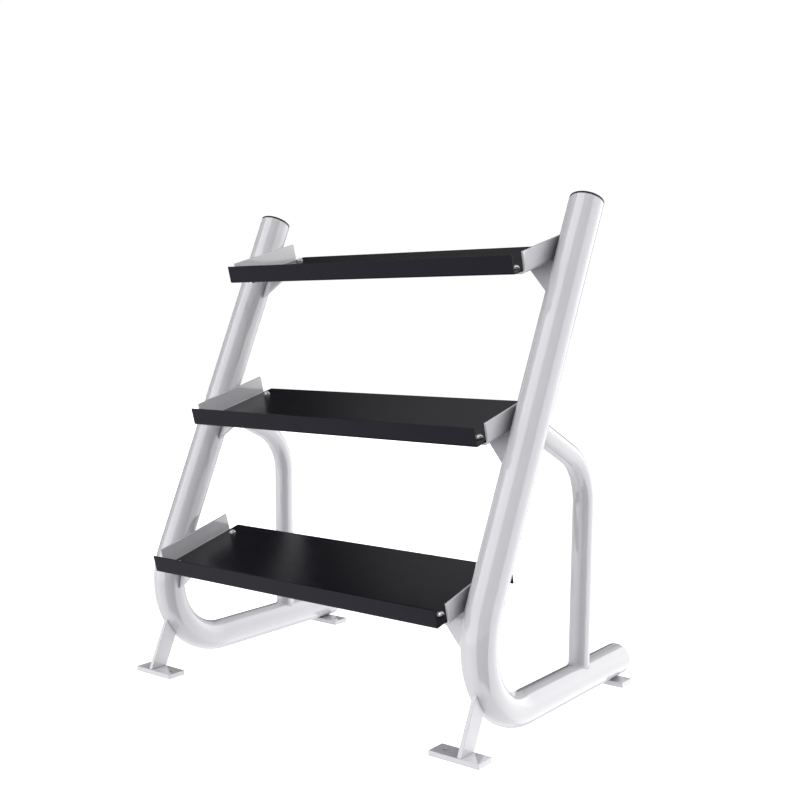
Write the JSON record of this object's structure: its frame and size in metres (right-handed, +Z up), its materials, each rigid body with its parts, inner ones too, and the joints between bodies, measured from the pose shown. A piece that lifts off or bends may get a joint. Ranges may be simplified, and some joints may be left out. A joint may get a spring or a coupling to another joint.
{
  "type": "dumbbell rack",
  "caption": "Free-standing rack with sloping black trays bolted between bent white tube side frames that lean back, for storing dumbbells.",
  "frame": {"origin": "on the floor, in the middle of the footprint box", "axes": "+Z up, +Y towards the back, +X towards the right-hand end seen from the front"},
  "size_m": [1.018, 0.7148, 1.1464],
  "materials": {
    "white_paint": "glossy cool-white powder coat",
    "black_paint": "satin black powder coat",
    "black_plastic": "fine-grained moulded plastic",
    "zinc_steel": "bright zinc plate"
  },
  "bodies": {
    "root": {"side_tube_right": "white_paint", "rear_brace_right": "white_paint", "front_strut_right": "white_paint", "front_foot_plate_right": "white_paint", "rear_foot_plate_right": "white_paint", "top_cap_right": "black_plastic", "rear_cap_right": "black_plastic", "side_tube_left": "white_paint", "rear_brace_left": "white_paint", "front_strut_left": "white_paint", "front_foot_plate_left": "white_paint", "rear_foot_plate_left": "white_paint", "top_cap_left": "black_plastic", "rear_cap_left": "black_plastic", "tray_top": "black_paint", "bracket_top_right": "white_paint", "gusset_top_right": "white_paint", "bolt_top_right_front": "zinc_steel", "nut_top_right_front": "zinc_steel", "bolt_top_right_rear": "zinc_steel", "nut_top_right_rear": "zinc_steel", "bracket_top_left": "white_paint", "gusset_top_left": "white_paint", "bolt_top_left_front": "zinc_steel", "nut_top_left_front": "zinc_steel", "bolt_top_left_rear": "zinc_steel", "nut_top_left_rear": "zinc_steel", "tray_middle": "black_paint", "bracket_middle_right": "white_paint", "gusset_middle_right": "white_paint", "bolt_middle_right_front": "zinc_steel", "nut_middle_right_front": "zinc_steel", "bolt_middle_right_rear": "zinc_steel", "nut_middle_right_rear": "zinc_steel", "bracket_middle_left": "white_paint", "gusset_middle_left": "white_paint", "bolt_middle_left_front": "zinc_steel", "nut_middle_left_front": "zinc_steel", "bolt_middle_left_rear": "zinc_steel", "nut_middle_left_rear": "zinc_steel", "tray_bottom": "black_paint", "bracket_bottom_right": "white_paint", "gusset_bottom_right": "white_paint", "bolt_bottom_right_front": "zinc_steel", "nut_bottom_right_front": "zinc_steel", "bolt_bottom_right_rear": "zinc_steel", "nut_bottom_right_rear": "zinc_steel", "bracket_bottom_left": "white_paint", "gusset_bottom_left": "white_paint", "bolt_bottom_left_front": "zinc_steel", "nut_bottom_left_front": "zinc_steel", "bolt_bottom_left_rear": "zinc_steel", "nut_bottom_left_rear": "zinc_steel"}
  },
  "joints": []
}
